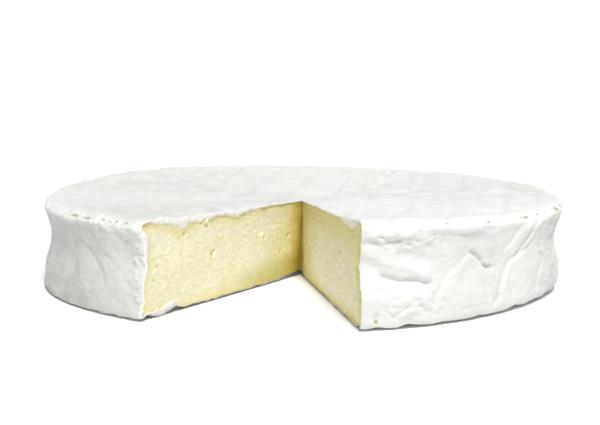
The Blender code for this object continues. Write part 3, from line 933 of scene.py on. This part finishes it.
def mapped(tree, value, low, high, toLow=0.0, toHigh=1.0):
    node = tree.nodes.new("ShaderNodeMapRange")
    node.interpolation_type = "SMOOTHSTEP"
    join(tree, value, node.inputs["Value"])
    for name, number in (("From Min", low), ("From Max", high), ("To Min", toLow), ("To Max", toHigh)):
        node.inputs[name].default_value = number
    return node.outputs["Result"]


def pattern(tree, place, look):  # a noise between two limits
    scale, detail, rough, *limits = look
    return mapped(tree, noiseAt(tree, place, scale, detail, rough), *limits)


def combined(tree, operation, first, second):
    node = tree.nodes.new("ShaderNodeMath")
    node.operation = operation
    for socket, value in zip(node.inputs, (first, second)):
        if isinstance(value, (int, float)):
            socket.default_value = value
        else:
            join(tree, value, socket)
    return node.outputs["Value"]


def mixed(tree, factor, first, second):
    node = tree.nodes.new("ShaderNodeMix")
    node.data_type = "RGBA"
    for socket, value in zip((node.inputs[0], node.inputs[6], node.inputs[7]), (factor, first, second)):
        if isinstance(value, (int, float)):
            socket.default_value = value
        elif isinstance(value, tuple):
            socket.default_value = linear(value)
        else:
            join(tree, value, socket)
    return node.outputs[2]


def linear(color):  # from 0 to 255 as a screen shows it
    shown = [part / 255 for part in color]
    lit = [part / 12.92 if part <= 0.04045 else ((part + 0.055) / 1.055) ** 2.4 for part in shown]
    return (*lit, 1.0)


def setSockets(shader, settings):
    for name, value in settings.items():
        shader.inputs[name].default_value = value


def addGrain(tree, shader, place, finish):  # a coarse grain and a finer one on it, as bump
    fine = noiseAt(tree, place, *finish["fineGrain"])
    coarse = noiseAt(tree, place, *finish["coarseGrain"])
    height = combined(tree, "ADD", combined(tree, "MULTIPLY", fine, finish["finePart"]), coarse)
    node = tree.nodes.new("ShaderNodeBump")
    node.inputs["Distance"].default_value, node.inputs["Strength"].default_value = finish["bump"]
    join(tree, height, node.inputs["Height"])
    join(tree, node.outputs["Normal"], shader.inputs["Normal"])
    return coarse


rindFinish = {
    "white": (222, 222, 219),
    "grey": (214, 215, 212),
    "cream": (220, 216, 201),
    # painted shade: the grey of the sides that lie in shade
    "shadeAndThin": (172, 174, 169),
    # painted light: the whiter rind on the lit top right, also the lush down on the torn edge
    "lightAndLush": (235, 235, 233),
    # painted shade in the hollows
    "hollow": (207, 208, 204),
    "tan": (156, 147, 88),
    "blush": (226, 213, 182),
    "edgeInner": (230, 225, 202),
    # scale, detail and roughness of a noise, its lower and upper limit, and how strong it is at each
    "clouds": (60, 4, 0.55, 0.36, 0.66, 0, 0.7),
    "mottling": (190, 4, 0.65, 0.3, 0.7, 0.6, 1.0),
    "creaminess": (34, 4, 0.6, 0.55, 0.75, 0, 0.45),
    "patches": (520, 2, 0.5, 0.30, 0.45, 0, 1),
    # the same without a noise
    "specks": (0.15, 0.65, 0, 0.8),
    "tornEdge": (0.5, 1.0, 0, 0.75),
    "blushing": (0.2, 1.0, 0, 0.9),
    "dullness": (0.3, 0.7, 0.78, 0.95),
    "hollowness": 0.6,
    # scale, detail and roughness of the grain, how much of the fine one, height in metres and strength
    "fineGrain": (1500, 4, 0.7),
    "coarseGrain": (480, 3, 0.65),
    "finePart": 0.4,
    "bump": (0.00045, 0.6),
    "shader": {
        "Specular IOR Level": 0.25,
        "Sheen Weight": 0.1,
        "Sheen Roughness": 0.6,
        "Subsurface Weight": 0.15,
        "Subsurface Radius": (1.0, 0.9, 0.75),
        "Subsurface Scale": 0.001,
    },
}


def finishRind(material):
    tree, shader = startMaterial(material)
    place = tree.nodes.new("ShaderNodeTexCoord").outputs["Object"]
    look = rindFinish
    color = mixed(tree, pattern(tree, place, look["clouds"]), look["white"], look["grey"])
    mottling = pattern(tree, place, look["mottling"])
    shadeAndThin = combined(tree, "MULTIPLY", attribute(tree, "shadeAndThin"), mottling)
    color = mixed(tree, shadeAndThin, color, look["shadeAndThin"])
    hollow = combined(tree, "MULTIPLY", attribute(tree, "hollow"), look["hollowness"])
    color = mixed(tree, hollow, color, look["hollow"])
    color = mixed(tree, attribute(tree, "lightAndLush"), color, look["lightAndLush"])
    color = mixed(tree, pattern(tree, place, look["creaminess"]), color, look["cream"])
    patches = pattern(tree, place, look["patches"])
    specks = combined(tree, "MULTIPLY", attribute(tree, "speck"), patches)
    color = mixed(tree, mapped(tree, specks, *look["specks"]), color, look["tan"])
    color = mixed(tree, mapped(tree, attribute(tree, "torn"), *look["tornEdge"]), color, look["edgeInner"])
    color = mixed(tree, mapped(tree, attribute(tree, "blush"), *look["blushing"]), color, look["blush"])
    join(tree, color, shader.inputs["Base Color"])
    coarse = addGrain(tree, shader, place, look)
    join(tree, mapped(tree, coarse, *look["dullness"]), shader.inputs["Roughness"])
    setSockets(shader, look["shader"])


pasteFinish = {
    "chalk": (234, 231, 207),
    "pale": (229, 225, 186),
    # painted shade towards the foot of the cut faces, strongest on the left one; also the colour of the dull
    # flecks
    "low": (216, 211, 179),
    "cream": (225, 215, 151),
    # painted shade in the corner at the foot of the tip
    "cornerShade": (183, 175, 100),
    # the deep cream line under the rind, and painted shade at the tip
    "deep": (185, 162, 54),
    "crease": (228, 219, 167),
    "eye": (206, 191, 97),
    "crumb": (243, 241, 228),
    # as in rindFinish
    "chalkiness": (140, 5, 0.65, 0.36, 0.60, 0, 1),
    "creases": (-0.5, 0.0, 0.5, 0),
    # painted shade: darker towards the foot
    "shadeTowardFoot": (0.0, 0.022, 0.75, 0),  # by height in metres
    "shadeOnTheLeft": (-0.01, 0.01, 1, 0.2),
    "flecks": (800, 3, 0.6),
    "paleFlecks": (0.52, 0.64, 0, 0.5),
    "dullFlecks": (0.36, 0.48, 0.65, 0),
    "eyes": (0.2, 0.9, 0, 0.85),
    "crumbs": (0.3, 0.8, 0, 0.9),
    "fineGrain": (1100, 4, 0.65),
    "coarseGrain": (420, 3, 0.6),
    "finePart": 0.5,
    "bump": (0.0004, 0.5),
    "shader": {
        "Roughness": 0.62,
        "Specular IOR Level": 0.3,
        "Subsurface Weight": 0.25,
        "Subsurface Radius": (1.0, 0.8, 0.4),
        "Subsurface Scale": 0.0015,
    },
}


def cutPlace(tree):  # lies in the cut: along it, drawn out, and up
    node = tree.nodes.new("ShaderNodeCombineXYZ")
    join(tree, attribute(tree, "along"), node.inputs["X"])
    join(tree, attribute(tree, "up"), node.inputs["Y"])
    return node.outputs["Vector"]


def finishPaste(material):
    tree, shader = startMaterial(material)
    place = cutPlace(tree)
    look = pasteFinish
    color = mixed(tree, pattern(tree, place, look["chalkiness"]), look["pale"], look["chalk"])
    color = mixed(tree, mapped(tree, attribute(tree, "curd"), *look["creases"]), color, look["crease"])
    # painted shade, darker towards the foot, mostly on the left cut face
    low = mapped(tree, attribute(tree, "up"), *look["shadeTowardFoot"])
    low = combined(tree, "MULTIPLY", low, mapped(tree, attribute(tree, "along"), *look["shadeOnTheLeft"]))
    color = mixed(tree, low, color, look["low"])
    flecks = noiseAt(tree, place, *look["flecks"])
    color = mixed(tree, mapped(tree, flecks, *look["paleFlecks"]), color, look["crumb"])
    color = mixed(tree, mapped(tree, flecks, *look["dullFlecks"]), color, look["low"])
    for name in ("cream", "cornerShade", "deep"):
        color = mixed(tree, attribute(tree, name), color, look[name])
    for name in ("eye", "crumb"):
        color = mixed(tree, mapped(tree, attribute(tree, name), *look[name + "s"]), color, look[name])
    join(tree, color, shader.inputs["Base Color"])
    addGrain(tree, shader, place, look)
    setSockets(shader, look["shader"])


print("finishes")
finishRind(rind.data.materials[0])
finishPaste(paste.data.materials[0])
for piece, slot in ((rind, "rind"), (paste, "paste")):
    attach(piece, "root")
    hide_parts("cheese_wheel")

print("studio")
studio = {
    "floorSize": 20.0,
    "floorDrop": 0.0002,
    "floorColor": (250, 250, 250),
    "floorShader": {
        "Roughness": 0.9,
        "Specular IOR Level": 0.1,
        "Emission Color": (1, 1, 1, 1),
        "Emission Strength": 0.022,
    },
    "horizonLight": 1.14,  # brightness of the walls round the table
    "leftWall": (-0.95, -0.5, 0.34, 1.0),  # from and to, how bright it is at each
    "rightWall": (0.4, 0.95, 1.0, 0.4),
    "skyLight": 0.3,  # brightness of what is above the walls
    "wallTop": (0.20, 0.40),  # from and to which height one turns into the other
}
cameraSet = {
    "lens": 67.2,
    "sensor": 36,
    "nearest": 0.01,
    "place": (0.0821, -0.43493, 0.08646),
    "target": (-0.00088, -0.00017, 0.0245),
}
sunLights = {
    # degrees to the right of the front, degrees up, softness in degrees, strength
    "key": (26, 59, 16, 3.14),
}


def makeFloor():
    bm = bmesh.new()
    bmesh.ops.create_grid(bm, x_segments=1, y_segments=1, size=studio["floorSize"] / 2)
    bmesh.ops.translate(bm, verts=bm.verts, vec=(0, 0, -studio["floorDrop"]))
    mesh = bpy.data.meshes.new("floor")
    bm.to_mesh(mesh)
    bm.free()
    floor = bpy.data.objects.new("floor", mesh)
    bpy.context.collection.objects.link(floor)
    material = bpy.data.materials.new("floor")
    _, shader = startMaterial(material)
    shader.inputs["Base Color"].default_value = linear(studio["floorColor"])
    setSockets(shader, studio["floorShader"])
    mesh.materials.append(material)


def makeWorld():
    world = bpy.data.worlds.new("studio")
    bpy.context.scene.world = world
    world.use_nodes = True
    tree = world.node_tree
    background = tree.nodes["Background"]
    split = tree.nodes.new("ShaderNodeSeparateXYZ")
    join(tree, tree.nodes.new("ShaderNodeTexCoord").outputs["Generated"], split.inputs["Vector"])
    bright = mapped(tree, split.outputs["Z"], *studio["wallTop"], studio["horizonLight"], studio["skyLight"])
    for wall in ("leftWall", "rightWall"):
        bright = combined(tree, "MULTIPLY", bright, mapped(tree, split.outputs["X"], *studio[wall]))
    join(tree, bright, background.inputs["Strength"])
    background.inputs["Color"].default_value = (1, 1, 1, 1)


def makeLights():
    for name, (aside, up, softness, strength) in sunLights.items():
        data = bpy.data.lights.new(name, "SUN")
        data.angle = radians(softness)
        data.energy = strength
        light = bpy.data.objects.new(name, data)
        light.rotation_euler = (radians(90 - up), 0, radians(aside))
        bpy.context.collection.objects.link(light)


def makeCamera():
    data = bpy.data.cameras.new("camera")
    data.lens = cameraSet["lens"]
    data.sensor_width = cameraSet["sensor"]
    data.clip_start = cameraSet["nearest"]
    camera = bpy.data.objects.new("camera", data)
    place, target = Vector(cameraSet["place"]), Vector(cameraSet["target"])
    camera.location = place
    camera.rotation_euler = (target - place).to_track_quat("-Z", "Y").to_euler()
    bpy.context.collection.objects.link(camera)
    bpy.context.scene.camera = camera


makeFloor()
makeWorld()
makeLights()
makeCamera()
bpy.context.scene.view_settings.view_transform = "Standard"

print("triangles", {o.name: sum(len(f.vertices) - 2 for f in o.data.polygons) for o in (rind, paste)})
